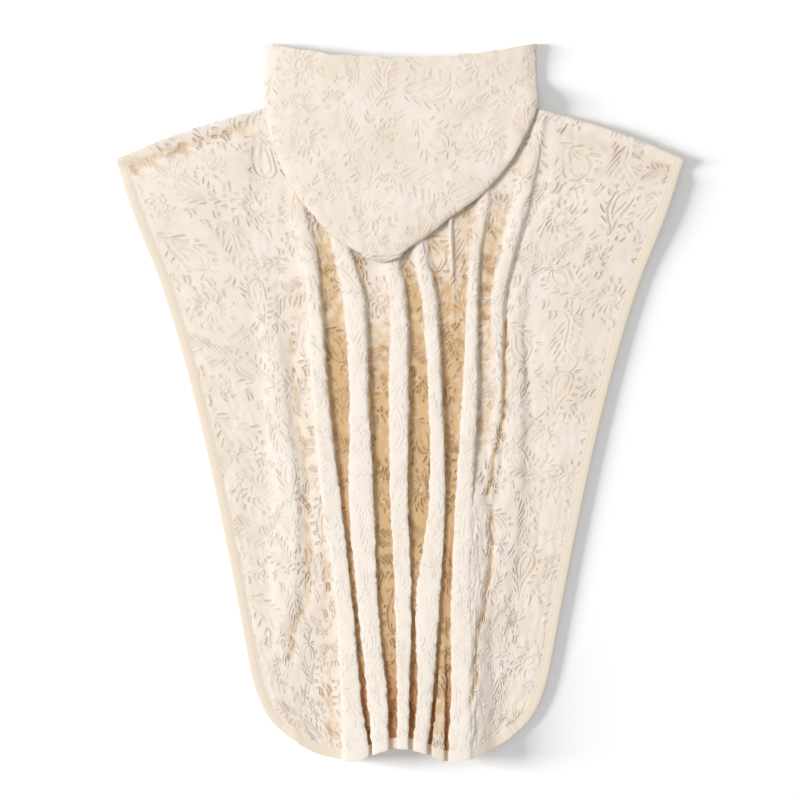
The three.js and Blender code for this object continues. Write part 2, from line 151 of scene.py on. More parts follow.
def nearestMotif(u, v):
    # which motif each face belongs to, and where its middle is
    width, height = relief["repeat"]
    best = np.full(u.shape, 1e9)
    place = np.zeros(u.shape + (3,))
    turn = np.zeros(u.shape + (3,))
    column = np.floor(u / width)
    for sideways in (-1, 0, 1):
        col = column + sideways
        shift = height * relief["drop"] * np.mod(col, 2)
        row = np.floor((v - shift) / height)
        for downward in (-1, 0, 1):
            for mu, mv, kind, radius, degrees, petals in relief["motifs"]:
                cu = col * width + mu
                cv = (row + downward) * height + shift + mv
                far = np.hypot(u - cu, v - cv) / radius
                hit = far < best
                best = np.where(hit, far, best)
                angle = math.radians(degrees)
                place[hit] = np.stack([cu, cv, np.full(u.shape, kind)], -1)[hit]
                turn[hit] = (math.cos(angle) / radius, math.sin(angle) / radius, petals)
    return place, turn


def addPiece(name, mesh):
    piece = bpy.data.objects.new(name, mesh)
    bpy.context.collection.objects.link(piece)
    return piece


def layPattern(mesh, uv):
    # cloth coordinates of each vertex, in mm, as the mesh's UV map
    corner = np.empty(len(mesh.loops), int)
    mesh.loops.foreach_get("vertex_index", corner)
    mesh.uv_layers.new(name="cloth").data.foreach_set("uv", (uv[corner] / 1000).ravel())


def clothShell(name, upper, lower, u, v, hollow=None, crown=None):
    # a closed thin shell between two grids of points, with its cloth coordinates as a UV map
    rows, columns = upper.shape[:2]
    count = rows * columns
    ids = np.arange(count).reshape(rows, columns)
    a, b, c, d = ids[:-1, :-1], ids[1:, :-1], ids[1:, 1:], ids[:-1, 1:]
    top = np.stack([a, b, c, d], -1).reshape(-1, 4)
    under = np.stack([a, d, c, b], -1).reshape(-1, 4) + count
    loop = np.concatenate([ids[:-1, 0], ids[-1, :-1], ids[:0:-1, -1], ids[0, :0:-1]])
    following = np.roll(loop, -1)
    rim = np.stack([following, loop, loop + count, following + count], -1)
    faces = np.concatenate([top, under, rim])
    points = np.concatenate([upper.reshape(-1, 3), lower.reshape(-1, 3)])
    points = (points + (0, cloth["shiftY"], 0)) / 1000
    points[:, 2] = np.maximum(points[:, 2], 0)
    mesh = bpy.data.meshes.new(name)
    mesh.from_pydata(points.tolist(), [], faces.tolist())
    uv = np.stack([np.tile(u.ravel(), 2), np.tile(v.ravel(), 2)], -1)
    layPattern(mesh, uv)
    middle = uv[faces].mean(1)
    place, turn = nearestMotif(middle[:, 0], middle[:, 1])
    place[:, :2] /= 1000
    turn[:, :2] *= 1000
    for label, values in (("motifPlace", place), ("motifTurn", turn)):
        mesh.attributes.new(label, "FLOAT_VECTOR", "FACE").data.foreach_set("vector", values.ravel())
    # per point: the painted shade of the hollows (on the binding, how far it is buried) and the crowns, which get a
    # painted highlight
    for label, values in (("hollow", hollow), ("crown", crown)):
        values = np.zeros(count) if values is None else values.ravel()
        values = np.concatenate([values, np.zeros(count)])
        mesh.attributes.new(label, "FLOAT", "POINT").data.foreach_set("value", values)
    mesh.shade_smooth()
    # the cut edge stays crisp, so that its shade doesn't run into the top
    ends = np.empty(len(mesh.edges) * 2, int)
    mesh.edges.foreach_get("vertices", ends)
    onEdge = np.zeros(2 * count, bool)
    onEdge[loop] = True
    sharp = onEdge[ends.reshape(-1, 2)].all(1)
    mesh.attributes.new("sharp_edge", "BOOLEAN", "EDGE").data.foreach_set("value", sharp)
    return addPiece(name, mesh)


# body: outline and folds, as the solids have them
body = dict(
    neckY=399.0, shoulderDrop=6.3e-4, shoulderHalf=370.0, neckHalf=124.0,
    hemY=-468.0, hemFlat=61.0, hemLift=17.0, hemRise=36.4, hemPower=2.2,
    cornerX=153.0, cornerY=-431.6, cornerPull=(-182, -412), sideStep=20.0, cornerSteps=9,
    sideY=[313, 234, 156, 52, -65, -208, -351], sideHalf=[370, 344, 313, 281, 252, 222, 195],
    rollForward=3.5, rollTail=6.0, rollTurn=26.0, rollSteps=7, rollSlack=8.0, tailFrom=0.6, neckTail=1.5,
    waveHeight=1.3, waveAcross=31, waveAlong=(95, 120), wavePhase=0.6,  # of the cloth that lies flat
    lowFold=5, fullFold=16,  # rise up to which a fold keeps its low shape, and from which its full one
    valleyGap=0.35,  # least distance between the columns of two folds that meet
    rows=206, flatColumns=27,
    valleyColumns=[6, 1, 1, 1, 1, 1, 2, 6],  # between one fold and the next
    ragged=0.7, raggedRise=(4, 14), raggedWaves=(8, 15, 5),  # how far the sides of a fold wander
    lumpLayers=[(0.34, 8, 16, 2), (0.36, 16, 30, 3), (0.35, 30, 70, 4)],  # height, shortest, longest, seed
)
levels = [395, 260, 195, 130, 0, -130, -260, -390, -452]
folds = [
    dict(centre=[-179, -185, -179, -172, -160, -148, -150, -135, -107],
         width=[20, 20, 22, 24, 29, 35, 32, 20, 12], rise=[0, 0, 0.5, 2, 6, 8, 6, 1.5, 0]),
    dict(centre=[-124, -133, -120, -112, -103, -89, -73, -63, -57],
         width=[16, 21, 24, 21, 23, 25, 22, 27, 36], rise=[1, 5, 8, 11, 13, 16, 19, 22, 22]),
    dict(centre=[-71, -84, -75, -60, -53, -50, -42, -29, -25],
         width=[16, 23, 26, 31, 26, 33, 26, 26, 21], rise=[1, 5, 8, 11, 14, 17, 20, 23, 24]),
    dict(centre=[-20, -20, -14, -3, -2, -1, 4, 4, 3],
         width=[14, 20, 23, 25, 27, 23, 21, 16, 15], rise=[1, 4, 7, 10, 14, 17, 20, 23, 24]),
    dict(centre=[20, 20, 25, 38, 46, 48, 36, 32, 25],
         width=[14, 20, 22, 22, 19, 21, 31, 20, 19], rise=[1, 4, 7, 10, 14, 17, 20, 23, 24]),
    dict(centre=[58, 65, 66, 69, 66, 65, 59, 53, 49],
         width=[5, 6, 6, 6, 6, 4, 4, 12, 17], rise=[1, 5, 6, 1, 0, 0, 0, 12, 18]),
    dict(centre=[101, 109, 98, 94, 90, 83, 79, 79, 78],
         width=[14, 16, 15, 16, 21, 23, 26, 27, 31], rise=[1, 5, 8, 11, 13, 16, 19, 21, 22]),
    dict(centre=[191, 159, 141, 127, 127, 113, 100, 96, 98],
         width=[16, 21, 22, 20, 14, 12, 5, 3, 3], rise=[3, 8, 9, 9, 5, 1, 0, 0, 0]),
    dict(centre=[234, 195, 169, 153, 151, 146, 129, 120, 116],
         width=[20, 20, 20, 20, 22, 29, 32, 28, 14], rise=[0, 0.5, 1, 3.5, 6, 6, 3.8, 2.2, 1.6]),
]
# half a fold from foot to crown: reach when low and when high, height when low and when high
foldShape = [
    (1.75, 1.14, 0.0, 0.0), (1.42, 0.96, 0.06, 0.05), (1.15, 0.93, 0.20, 0.24), (0.98, 0.96, 0.39, 0.50),
    (0.81, 1.0, 0.60, 0.73), (0.62, 0.97, 0.79, 0.87), (0.42, 0.86, 0.92, 0.955), (0.21, 0.56, 0.985, 0.992),
    (0.0, 0.0, 1.0, 1.0),
]
foldSpan = 2 * len(foldShape) - 1
foldStarts = [body["flatColumns"] + 1 + k * foldSpan + sum(body["valleyColumns"][:k]) for k in range(len(folds))]
# how ragged the two sides of a fold are, from foot to crown
foldRagged = [0, 0, 0.3, 0.8, 1, 1, 0.6, 0.2, 0]
# how deep the valleys between the folds are, and how much shade is painted into them as tan
valleys = dict(
    reach=58, columns=45,  # how far apart the folds on both sides may stand, in mm and in columns
    fullDepth=24, power=0.6, firstDepth=1.5, onset=3,  # the painted tan shade begins at the first depth and is full at the other
    gain=1.15, patches=0.1, spotPatches=0.15,
    brownFrom=310, brownFull=400,  # distance below the middle where the last stretch gets the darker brown painted shade
    brownSpot=(64, -195, 14, 75, 0.4),
    mostTan=0.84, leftShare=0.5,
    filled=0.58, fillFrom=-40, fillFull=220,  # lower down they fill up
    crownRise=(4, 13), crownDepth=6,  # height from which a fold's crown gets a painted highlight and shallower grooves
)
# places painted tan as shade, in folds and beside the hood, and one broad patch that darkens the upper right: middle,
# half width, half height, strength
shadeSpots = [
    (-97, -235, 8, 66, 0.56), (-97, -385, 12, 34, 0.44), (-89, -428, 15, 22, 0.6), (-112, 140, 7, 34, 0.45),
    (-148, 292, 6, 16, 0.42), (-131, 143, 8, 26, 0.42), (-195, 374, 12, 7, 0.38),
    (184, 357, 24, 14, 0.34), (48, -411, 7, 11, 0.5), (150, 300, 8, 22, 0.34), (265, 240, 60, 70, 0.35),
]
# stretches of valley where less shade is painted: middle, half width, half height, share of the painted tan taken off
paleSpots = [(-27, 150, 15, 85, 0.68), (128, -190, 26, 190, 0.4), (52, 175, 8, 22, 0.4), (-3, 60, 12, 30, 0.3)]
# right of the last high fold the cloth runs out in a long slope, in mm beyond the fold's crest
longSlope = dict(
    fold=6, height=0.98, end=(3, 54), below=(20, 160),
    evenBelow=(20, 60), spacing=0.3,  # there the columns no longer fold back under each other
    # how far beyond the crest the painted valley shade stays off the slope, and how far the crowns' painted highlight
    # runs down it
    paleEnd=(10, 40), crownEnd=(6, 40),
)
# the turned shoulder edge beside the hood: a soft rim, a dip below it and a swell below that; the dip is painted tan as
# shade
shoulderEdge = dict(
    beside=(180, 206), rim=2.6, rimWidth=14, swellLeft=4.5, swellRight=2.6, swellStart=(15, 36), swellEnd=(60, 190),
    dipStart=(2, 12), dipEnd=(20, 42), dipWander=5, dipLeft=0.49, dipRight=0.39,
)

# narrow grooves where the cloth is pinched, from the top down
# x and y along it, half width, lift of its lips, strength of the tan painted into it as shade
creases = [
    dict(x=[-139, -140, -133, -134, -123, -121], y=[96, 46, 4, -27, -69, -135], wide=9.0, lift=3.4, strength=0.5),
    dict(x=[-123, -118, -121, -133, -140, -144], y=[-108, -207, -260, -281, -304, -351],
         wide=9.5, lift=4.4, strength=0.56),
    dict(x=[-103, -96, -88, -91], y=[-316, -339, -373, -430], wide=5.0, lift=2.0, strength=0.55),
    dict(x=[140, 136, 137, 134, 126, 112], y=[117, 55, 14, -27, -57, -135], wide=3.8, lift=2.4, strength=0.74),
    dict(x=[119, 119, 107, 99, 98, 94, 83], y=[-130, -207, -281, -311, -360, -384, -408],
         wide=4.6, lift=3.2, strength=0.66),
    dict(x=[92, 101, 104], y=[-384, -420, -440], wide=4.0, lift=1.6, strength=0.4),
    dict(x=[153, 146, 141], y=[-262, -290, -312], wide=5.0, lift=1.6, strength=0.4),
    dict(x=[168, 165, 172], y=[80, 30, -40], wide=5.0, lift=1.6, strength=0.4),
]
creaseLook = dict(sway=1.2, swayLength=7, fade=16, lipReach=2.4, sunk=1.1)


def shoulderY(x):
    return body["neckY"] - body["shoulderDrop"] * x * x


def hemLine(x):
    a = np.abs(x)
    flat = body["hemFlat"]
    lifted = body["hemY"] + body["hemLift"] * np.clip(1 - (a / flat) ** 2, 0, 1) ** 1.5
    share = np.clip((a - flat) / (body["cornerX"] - flat), 0, None)
    return np.where(a < flat, lifted, body["hemY"] + body["hemRise"] * share ** body["hemPower"])


def sidePath(inset):
    # left outline from the shoulder to where the hem begins, moved in
    y = np.arange(body["sideY"][0], body["sideY"][-1], -body["sideStep"])
    points = [(-smoothAt(body["sideY"], body["sideHalf"], h), h) for h in y]
    start = (-body["sideHalf"][-1], body["sideY"][-1])
    for f in np.linspace(0, 1, body["cornerSteps"]):
        ends = np.array([start, body["cornerPull"], (-body["cornerX"], body["cornerY"])])
        points.append(tuple((1 - f) ** 2 * ends[0] + 2 * f * (1 - f) * ends[1] + f * f * ends[2]))
    points = np.array(points)
    along = unit(np.gradient(points, axis=0))
    points = points + np.stack([-along[:, 1], along[:, 0]], -1) * inset
    points[0, 0] = -body["shoulderHalf"] + inset
    points[0, 1] = shoulderY(points[0, 0]) - body["rollForward"]
    return points


def pathAt(path, t):
    length = runAlong(path)
    target = t * length[-1]
    return np.stack([np.interp(target, length, path[:, 0]), np.interp(target, length, path[:, 1])], -1)


def foldColumn(fold, side, shape, t, inset):
    low, high, zLow, zHigh = shape

    def pointAt(y):
        rise = np.maximum(0, smoothAt(levels, fold["rise"], y))
        full = np.clip((rise - body["lowFold"]) / (body["fullFold"] - body["lowFold"]), 0, 1)
        reach = side * smoothAt(levels, fold["width"], y) / 2 * (low + (high - low) * full)
        return smoothAt(levels, fold["centre"], y) + reach, rise * (zLow + (zHigh - zLow) * full)

    top, end = body["neckY"], body["hemY"]
    for _ in range(5):
        top = shoulderY(pointAt(np.array(top))[0]) - body["rollForward"]
        end = hemLine(pointAt(np.array(end))[0]) + inset
    y = top + (end - top) * t
    x, z = pointAt(y)
    return x, y, z


def rumple(x, y):
    slanting, straight = body["waveAlong"]
    across = np.sin(x / body["waveAcross"] + y / slanting)
    return body["waveHeight"] * (1 + across * np.cos(y / straight + body["wavePhase"]))


def depthBetween(x, z):
    # how far each point lies below the folds on both its sides
    left, right = z.copy(), z.copy()
    for step in range(1, valleys["columns"] + 1):
        near = x[:, step:] - x[:, :-step] < valleys["reach"]
        left[:, step:] = np.maximum(left[:, step:], np.where(near, z[:, :-step], 0))
        right[:, :-step] = np.maximum(right[:, :-step], np.where(near, z[:, step:], 0))
    return np.minimum(left, right) - z


def paintedValleyShade(x, y, depth):
    # painted shade: 0 where the cloth lies open, most in the deepest valleys
    hollow = np.clip(depth / valleys["fullDepth"], 0, 1) ** valleys["power"]
    hollow = hollow * np.clip((depth - valleys["firstDepth"]) / valleys["onset"], 0, 1)
    patchy = 1 + valleys["patches"] * (lumps(x, y / 3, 8, 24, 31) + lumps(x, y, 60, 160, 32))
    hollow = np.clip(valleys["gain"] * hollow * patchy, 0, 1)
    # only the last stretch above the hem gets the darker brown painted shade, and one valley does so further up
    brown = smoothStep(valleys["brownFrom"], valleys["brownFull"], -y)
    spotX, spotY, wide, high, strength = valleys["brownSpot"]
    brown = np.maximum(brown, strength * np.exp(-((x - spotX) / wide) ** 2 - ((y - spotY) / high) ** 4))
    hollow = np.minimum(hollow, valleys["mostTan"] + (1 - valleys["mostTan"]) * brown)
    number = np.arange(x.shape[1])
    hollow = hollow * np.where(number < foldStarts[1] + foldSpan // 2, valleys["leftShare"], 1.0)
    for spotX, spotY, wide, high, strength in shadeSpots:
        far = ((x - spotX) / wide) ** 2 + ((y - spotY) / high) ** 2
        hollow = np.maximum(hollow, strength * np.exp(-far) * (1 + valleys["spotPatches"] * lumps(x, y, 8, 16, 33)))
    for spotX, spotY, wide, high, lost in paleSpots:
        hollow = hollow * (1 - lost * np.exp(-((x - spotX) / wide) ** 2 - ((y - spotY) / high) ** 2))
    return hollow


def runOut(x, y, z):
    # raises the long slope, and returns how far beyond the crest each point is and its share in the slope
    number = longSlope["fold"]
    last, crest = folds[number], foldStarts[number] + foldSpan // 2
    spacing = longSlope["spacing"] * np.arange(x.shape[1] - crest)
    forward = np.maximum.accumulate(x[:, crest:] - spacing, axis=1) + spacing
    x[:, crest:] += smoothStep(*longSlope["evenBelow"], -y[:, crest:]) * (forward - x[:, crest:])
    beyond = x - smoothAt(levels, last["centre"], y)
    share = smoothStep(*longSlope["below"], -y) * (beyond > 0)
    height = longSlope["height"] * share * smoothAt(levels, last["rise"], y)
    z[:] = np.maximum(z, height * (1 - smoothStep(*longSlope["end"], beyond)))
    return beyond, share


def pinch(x, y, z, hollow):
    look = creaseLook
    for crease in creases:
        path, heights = np.array(crease["x"][::-1]), np.array(crease["y"][::-1])
        far = np.abs(x - np.interp(y, heights, path) + look["sway"] * np.sin(y / look["swayLength"])) / crease["wide"]
        ends = smoothStep(0, look["fade"], y - heights[0]) * smoothStep(0, look["fade"], heights[-1] - y)
        groove = np.exp(-far**2) * ends
        lips = np.exp(-(far / look["lipReach"]) ** 2) * ends
        z += crease["lift"] * (lips - look["sunk"] * groove)
        # the groove of each crease is painted tan, as painted shade
        hollow = np.maximum(hollow, crease["strength"] * groove)
    return hollow


def raiseShoulder(x, y, z, hollow):
    edge = shoulderEdge
    inward = shoulderY(x) - body["rollForward"] - y
    beside = smoothStep(*edge["beside"], np.abs(x))
    rim = edge["rim"] * (1 - smoothStep(0, edge["rimWidth"], inward))
    swell = np.where(x < 0, edge["swellLeft"], edge["swellRight"])
    swell = swell * smoothStep(*edge["swellStart"], inward) * (1 - smoothStep(*edge["swellEnd"], inward))
    z += beside * (rim + swell)
    # the dip below the rim is painted tan, as painted shade
    wander = edge["dipWander"] * lumps(x, y, 9, 22, 21)
    dip = smoothStep(*edge["dipStart"], inward) * (1 - smoothStep(*edge["dipEnd"], inward + wander))
    return np.maximum(hollow, beside * np.where(x < 0, edge["dipLeft"], edge["dipRight"]) * dip)


def backGrid():
    inset = cloth["hemWidth"] + cloth["seam"]
    t = np.linspace(0, 1, body["rows"])
    columns = []
    for k, fold in enumerate(folds):
        steps = [(-1, s) for s in foldShape] + [(1, s) for s in foldShape[-2::-1]]
        columns.append([foldColumn(fold, side, shape, t, inset) for side, shape in steps])
    # two neighbouring folds meet in the middle of the valley between them
    for left, right in zip(columns, columns[1:]):
        middle = (left[-3][0] + right[2][0]) / 2
        for j, col in enumerate(left[-4:]):
            np.minimum(col[0], middle - body["valleyGap"] * (4 - j), out=col[0])
        for j, col in enumerate(right[:4]):
            np.maximum(col[0], middle + body["valleyGap"] * (1 + j), out=col[0])
    flatList = list(columns[0])
    for left, right, extra in zip(columns, columns[1:], body["valleyColumns"]):
        for f in np.linspace(0, 1, extra + 2)[1:-1]:
            flatList.append([a + (b - a) * f for a, b in zip(left[-1], right[0])])
        flatList += right
    foldX, foldY, foldZ = (np.stack([col[i] for col in flatList], 1) for i in range(3))
    edge = pathAt(sidePath(inset), t)
    shares = np.linspace(0, 1, body["flatColumns"] + 2)[:-1]

    def flatPart(fromX, fromY, toX, toY):
        f = shares[None, :]
        x = fromX[:, None] + (toX - fromX)[:, None] * f
        y = fromY[:, None] + (toY - fromY)[:, None] * f
        y = y + body["shoulderDrop"] * ((toX - fromX)[:, None] ** 2) * f * (1 - f) * (1 - t[:, None]) ** 2
        z = rumple(x, y) * np.minimum(1, 4 * f * (1 - f))
        return x, y, z

    left = flatPart(edge[:, 0], edge[:, 1], foldX[:, 0], foldY[:, 0])
    right = flatPart(-edge[:, 0], edge[:, 1], foldX[:, -1], foldY[:, -1])
    x, y, z = (np.concatenate([a, b, c[:, ::-1]], 1) for a, b, c in zip(left, (foldX, foldY, foldZ), right))
    depth = depthBetween(x, z)
    hollow = paintedValleyShade(x, y, depth)
    z += valleys["filled"] * depth * smoothStep(valleys["fillFrom"], valleys["fillFull"], -y)
    beyond, share = runOut(x, y, z)
    hollow = hollow * (1 - share * (1 - smoothStep(*longSlope["paleEnd"], beyond)))
    hollow = pinch(x, y, z, hollow)
    hollow = raiseShoulder(x, y, z, hollow)
    # painted highlight: tops that stand out of the valleys, and the long slope, are painted lighter, and their grooves
    # grow shallower
    exposed = np.maximum(1 - smoothStep(0, valleys["crownDepth"], depth),
                         share * (1 - smoothStep(*longSlope["crownEnd"], beyond)))
    crown = smoothStep(*valleys["crownRise"], z) * exposed
    points = np.stack([x, y, z + cloth["backTop"]], -1)
    return points, hollow, crown


def shoulderRoll(first):
    # the stretch that turns over the shoulder, from its end on the floor up to the first row
    x = first[:, 0]
    turn = math.pi * smoothStep(body["neckHalf"], body["neckHalf"] + body["rollTurn"], np.abs(x))
    share = turn / math.pi
    out = unit(np.stack([2 * body["shoulderDrop"] * x, np.ones_like(x)], -1))
    rows = []
    steps = body["rollSteps"]
    for k in range(steps + 2, 0, -1):
        angle = turn * min(1, k / steps)
        extra = max(0, k - steps) / 2
        forward = body["rollSlack"] * (1 - share) * min(1, k / (steps + 1)) + body["rollForward"] * np.sin(angle)
        tail = body["rollTail"] * np.maximum(0, (share - body["tailFrom"]) / (1 - body["tailFrom"])) * np.cos(turn)
        forward += extra * (tail + body["neckTail"] * (1 - share))
        z = first[:, 2] - first[:, 2] / 2 * (1 - np.cos(angle))
        rows.append(np.stack([x + out[:, 0] * forward, first[:, 1] + out[:, 1] * forward, z], -1))
    return np.array(rows)


def clothCoordinates(points, hollowStart, hollowEnd):
    # u is anchored at each side edge, v runs down from the shoulder
    s = runAlong(points[:, :, [0, 2]], 1)
    a, b = s[:, hollowStart:hollowStart + 1], s[:, hollowEnd:hollowEnd + 1]
    fromRight = s[:, -1:] - s
    width = cloth["width"]
    inner = a + (s - a) * (width - a - (s[:, -1:] - b)) / np.maximum(b - a, 1)
    u = np.where(s <= a, s, np.where(s >= b, width - fromRight, inner))
    v = body["neckY"] - points[:, :, 1]
    return u, v


backPoints, backHollow, backCrown = backGrid()
roll = shoulderRoll(backPoints[0])
backU, backV = clothCoordinates(backPoints, foldStarts[0], foldStarts[-1] + foldSpan - 1)
backPoints = np.concatenate([roll, backPoints])
backU = np.concatenate([np.repeat(backU[:1], len(roll), 0), backU])
backV = np.concatenate([backV[0] - runAlong(backPoints[len(roll)::-1])[:0:-1], backV])
backHollow, backCrown = (np.pad(grid, ((len(roll), 0), (0, 0))) for grid in (backHollow, backCrown))
# the relief and the filling of the pile make the surface a little uneven
normals = gridNormals(backPoints)
down, across = np.indices(backPoints.shape[:2])
inside = np.minimum(across, backPoints.shape[1] - 1 - across) / 2
inside = np.clip(np.minimum(inside, np.minimum(down / 8, (len(backPoints) - 1 - down) / 2)), 0, 1)
uneven = unevenness(backU, backV, body["lumpLayers"])
for start in foldStarts:
    sides = slice(start, start + foldSpan)
    high = smoothStep(*body["raggedRise"], backPoints[:, start + foldSpan // 2, 2] - cloth["backTop"])
    ragged = high[:, None] * np.array(foldRagged + foldRagged[-2::-1])
    uneven[:, sides] += body["ragged"] * ragged * lumps(backU[:, sides], backV[:, sides], *body["raggedWaves"])
backUpper = backPoints + normals * (uneven * inside)[..., None]
backLower = backPoints - normals * cloth["thickness"]
backCloth = clothShell("backCloth", backUpper, backLower, backU, backV, backHollow, backCrown)
print("back made", len(backCloth.data.polygons))

# binding round the back
# distance out from the cloth's edge, and height above it
binding = dict(
    across=[(-1.3, -0.9), (-1.0, -0.2), (-0.2, 0.2), (1.6, 0.25), (4.0, 0.55), (7.5, 0.65), (10.6, 0.45), (12.4, 0.05),
            (13.0, -0.7)],
    hemShare=0.15,  # along the folded hem the pile hides the binding's edge
    turnOver=6, hemTurn=18, buriedAfter=40,  # lengths over which its direction is taken, turns down and gets buried
)


def border(grid):
    return np.concatenate([grid[:, 0], grid[-1, 1:-1], grid[::-1, -1]])


def bindingStrip(upper, lower, crown, name):
    path, below = border(upper), border(lower)
    rows, columns = upper.shape[:2]
    index = np.arange(len(path))
    run = runAlong(path)
    reach = binding["turnOver"]
    along = [np.interp(run + reach, run, path[:, i]) - np.interp(run - reach, run, path[:, i]) for i in range(2)]
    out = unit(np.stack([along[1], -along[0], np.zeros(len(path))], -1))
    fromCorner = np.minimum(run - run[rows - 1], run[-rows] - run)
    out = unit(out + (np.array([0, -1, 0]) - out) * smoothStep(0, binding["hemTurn"], fromCorner)[:, None])
    rollRows = body["rollSteps"] + 3
    onRoll = np.minimum(index, len(path) - 1 - index) <= rollRows
    normal = unit(np.stack([2 * body["shoulderDrop"] * path[:, 0], np.ones(len(path)), np.zeros(len(path))], -1))
    sideways = np.stack([np.sign(path[:, 0]) * normal[:, 1], -np.abs(normal[:, 0]), np.zeros(len(path))], -1)
    out[onRoll] = sideways[onRoll]
    thick = unit(path - below)
    offsets = binding["across"][::-1]
    buried = np.repeat(smoothStep(0, binding["buriedAfter"], fromCorner)[:, None], len(offsets), 1)
    raised = 1 - (1 - binding["hemShare"]) * buried[:, :1]
    top = np.stack([path + out * (o + cloth["seam"]) + thick * h * raised for o, h in offsets], 1)
    base = np.stack([below + out * (max(o, 0) + cloth["seam"]) for o, h in offsets], 1)
    u = np.repeat(np.array([o for o, h in offsets])[None, :], len(path), 0)
    v = np.repeat(run[:, None], len(offsets), 1)
    # the binding carries how far it is buried, and the crowns' painted highlight
    return clothShell(name, top, base, u, v, buried, np.repeat(border(crown)[:, None], len(offsets), 1))


backBinding = bindingStrip(backPoints, backLower, backCrown, "backBinding")
print("binding made")

# hood
hood = dict(
    y=[464, 420, 380, 340, 300, 260, 236, 214, 196, 181],
    left=[-175, -177, -176, -168, -153, -130, -109, -90, -62, -33],
    right=[177, 178, 178, 161, 137, 98, 64, 38, 12, -7],
    rowsY=[464, 448, 432, 418, 405, 392, 375, 350, 322, 295, 268, 244, 222, 204, 190, 181],
    dip=20.0, dipEnd=0.6, lift=6.5, liftEnd=0.25,  # of the front edge, and the share of the length that they reach
    loft=3.0, tipBulge=4.0, tipRoom=9.0, tipStart=0.85, tipRadius=8.3, narrow=150,
    clear=1.2, stepStart=6.0, stepLength=36.0, coverEdge=10, coverFade=30,
    mouthFade=0.12, mouthWaves=[(1.1, 6.1, 1), (0.9, 10.7, 0)],  # height, length, start
    lumpLayers=[(0.3, 12, 30, 7), (0.5, 60, 140, 8)],
    rows=96, columns=110, motifShift=(300, 400),
)
# the layer below it begins further down and lies further in
hoodBelow = dict(
    firstRow=6, rows=46, columns=61, inset=9, front=12, clear=1.0, thickness=2.4, tipRoom=11.0, tipStart=0.75)
# edge that turns down: distance in, and height as a share
hoodRim = [
    (2.2, 0.0), (0.8, 0.14), (0.1, 0.32), (0.0, 0.48), (0.5, 0.64), (1.5, 0.78), (3.0, 0.88), (5.0, 0.945), (7.5, 0.98),
]


def hoodSides(y):
    return [smoothAt(hood["y"], hood[side], y)[:, None] for side in ("left", "right")]


def foldCover(x, y):
    # several folds together carry the hood without a crease between them
    cover = np.zeros(np.shape(x))
    for fold in folds:
        beyond = np.abs(x - smoothAt(levels, fold["centre"], y)) - smoothAt(levels, fold["width"], y) / 2
        rise = np.maximum(0, smoothAt(levels, fold["rise"], y))
        cover += (rise * (1 - smoothStep(0, hood["coverFade"], beyond - hood["coverEdge"]))) ** 4
    return cover ** 0.25


def hoodGrid():
    rowShare = np.linspace(0, 1, hood["rows"])
    y = np.interp(rowShare, np.linspace(0, 1, len(hood["rowsY"])), hood["rowsY"])
    y = np.convolve(np.pad(y, 3, "reflect", reflect_type="odd"), np.ones(7) / 7, "valid")  # evens their spacing out
    y = y + hood["tipRoom"] * smoothStep(hood["tipStart"], 1, rowShare)
    left, right = hoodSides(y)
    width = right - left
    narrow = np.minimum(1, width / hood["narrow"])
    inset = np.array([i for i, up in hoodRim])[None, :] * narrow
    rimUp = np.array([up for i, up in hoodRim])
    middle = np.linspace(0, 1, hood["columns"] + 2)[None, 1:-1]
    edgeShare = inset / width
    last = edgeShare[:, -1:]
    share = np.concatenate([edgeShare, last + (1 - 2 * last) * middle, (1 - edgeShare)[:, ::-1]], 1)
    up = np.concatenate([rimUp, np.ones(hood["columns"]), rimUp[::-1]])[None, :]
    down = rowShare[:, None]
    bow = 1 - (2 * share - 1) ** 2
    sag = hood["dip"] * (1 - smoothStep(0, hood["dipEnd"], down)) + hood["tipBulge"] * down**6
    x = left + share * width
    rowY = y[:, None] - sag * bow
    # the turned front edge of a thick pile is never quite straight
    wavy = sum(height * np.sin(x / length + start) for height, length, start in hood["mouthWaves"])
    rowY = rowY + (1 - smoothStep(0, hood["mouthFade"], down)) * wavy * bow
    start = shoulderY(x) + hood["stepStart"]
    past = smoothStep(0, 1, (rowY - start) / hood["stepLength"])
    cover = cloth["backTop"] + foldCover(x, rowY)
    low = cloth["layer"] + cover * (1 - past)
    seat = cloth["solidThickness"] + (cover + hood["clear"]) * (1 - past)
    away = 1 - np.abs(2 * share - 1) ** 7
    mouth = hood["lift"] * (1 - smoothStep(0, hood["liftEnd"], down))
    top = seat + cloth["layer"] + cloth["solidThickness"] + away * (hood["loft"] + mouth)
    z = low + (top - low) * up
    grid = np.stack([x, rowY, z], -1)
    # the tip is rounded off, and turns down as the sides do
    turned = []
    furthest = 0
    for i, rimShare in hoodRim[::-1]:
        row = grid[-1].copy()
        beyond = hoodRim[-1][0] - i
        furthest = max(furthest, beyond)
        middle = row[:, 0].mean()
        row[:, 0] = middle + (row[:, 0] - middle) * math.sqrt(1 - (furthest / hood["tipRadius"]) ** 2)
        row[:, 1] -= beyond
        row[:, 2] = low[-1] + (top[-1] - low[-1]) * np.minimum(up[0], rimShare)
        turned.append(row)
    return np.concatenate([grid, np.array(turned)])


hoodPoints = hoodGrid()
hoodNormals = gridNormals(hoodPoints)
hoodAcross = runAlong(hoodPoints, 1)
hoodAcross -= hoodAcross[:, -1:] / 2
hoodDown = hood["y"][0] - hoodPoints[:, :, 1]
hoodLumps = unevenness(hoodAcross, hoodDown, hood["lumpLayers"])
hoodUpperCloth = clothShell(
    "hoodUpperCloth", hoodPoints + hoodNormals * hoodLumps[..., None], hoodPoints - hoodNormals * cloth["thickness"],
    hoodDown + hood["motifShift"][0], hoodAcross + hood["motifShift"][1])


